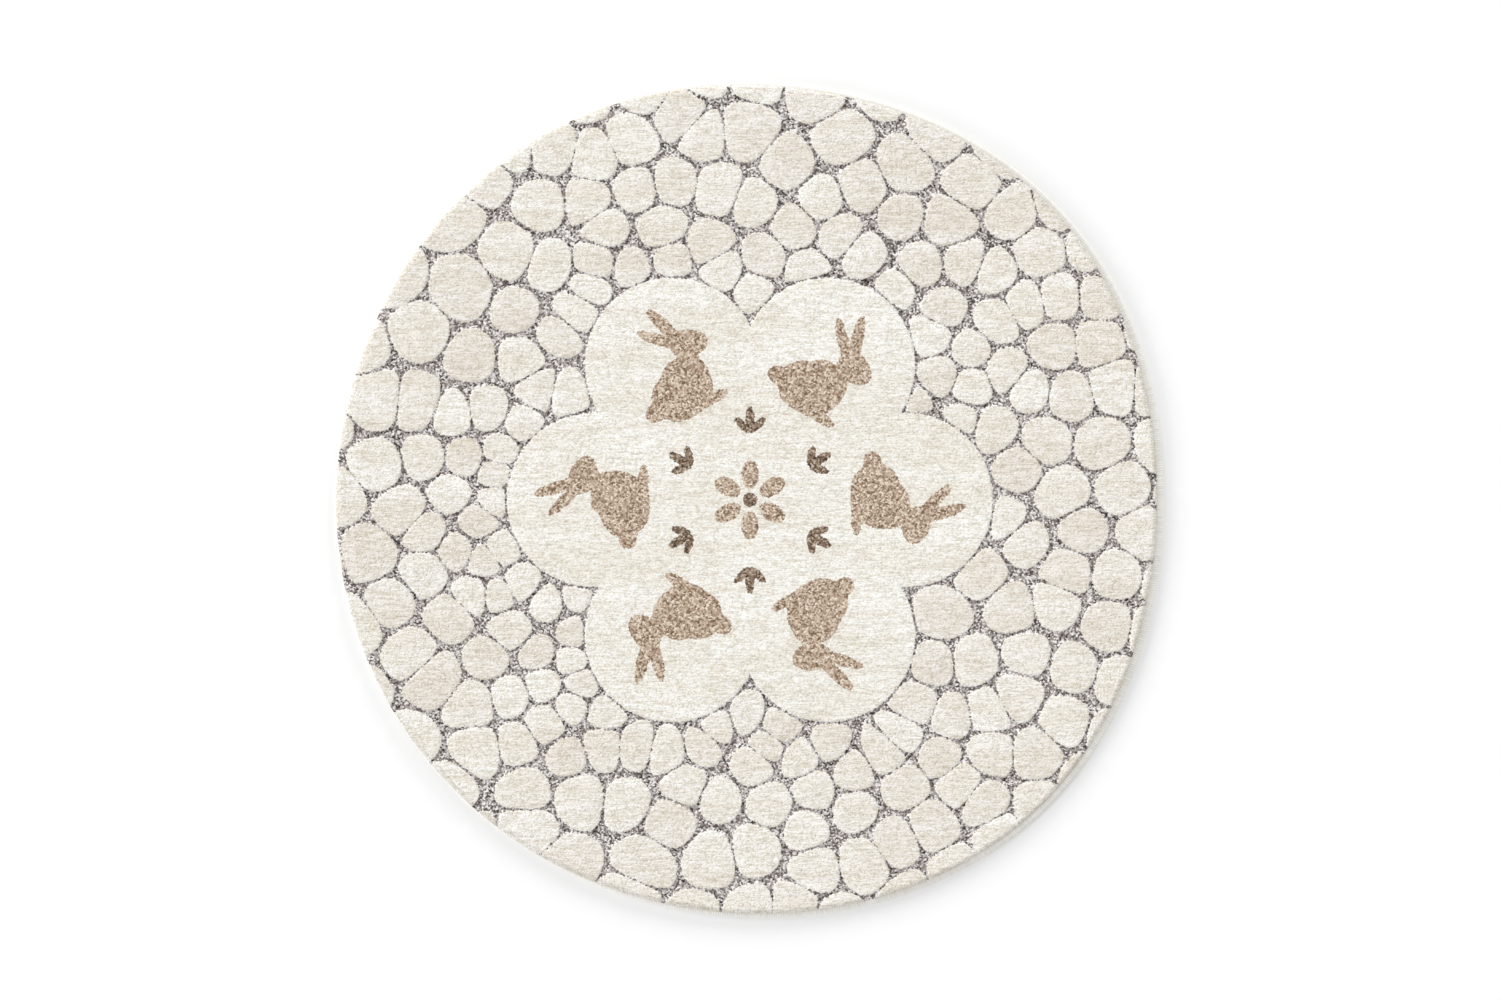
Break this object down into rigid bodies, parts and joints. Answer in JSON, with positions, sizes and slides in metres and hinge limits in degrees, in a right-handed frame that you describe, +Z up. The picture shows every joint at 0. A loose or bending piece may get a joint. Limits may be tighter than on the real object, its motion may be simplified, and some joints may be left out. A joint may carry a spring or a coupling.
{
  "type": "round kids rug",
  "caption": "Round woven rug for a child's room, with raised cream pebbles round a scalloped centre field, low marl ground between them and an overlocked edge; it lies flat on a floor.",
  "frame": {"origin": "on the floor under the middle of the rug", "axes": "+Z up out of the pile, across the rug's thickness; +X to the right and +Y away as the picture shows it"},
  "size_m": [1.1966, 1.2072, 0.012],
  "materials": {
    "cut_pile": "matt cream cut pile, with low grey marl ground and beige marl motifs",
    "overlock_thread": "off-white thread, whipped closely round the edge"
  },
  "bodies": {
    "root": {"pile_carpet": "cut_pile", "edge_overlock": "overlock_thread"}
  },
  "joints": []
}
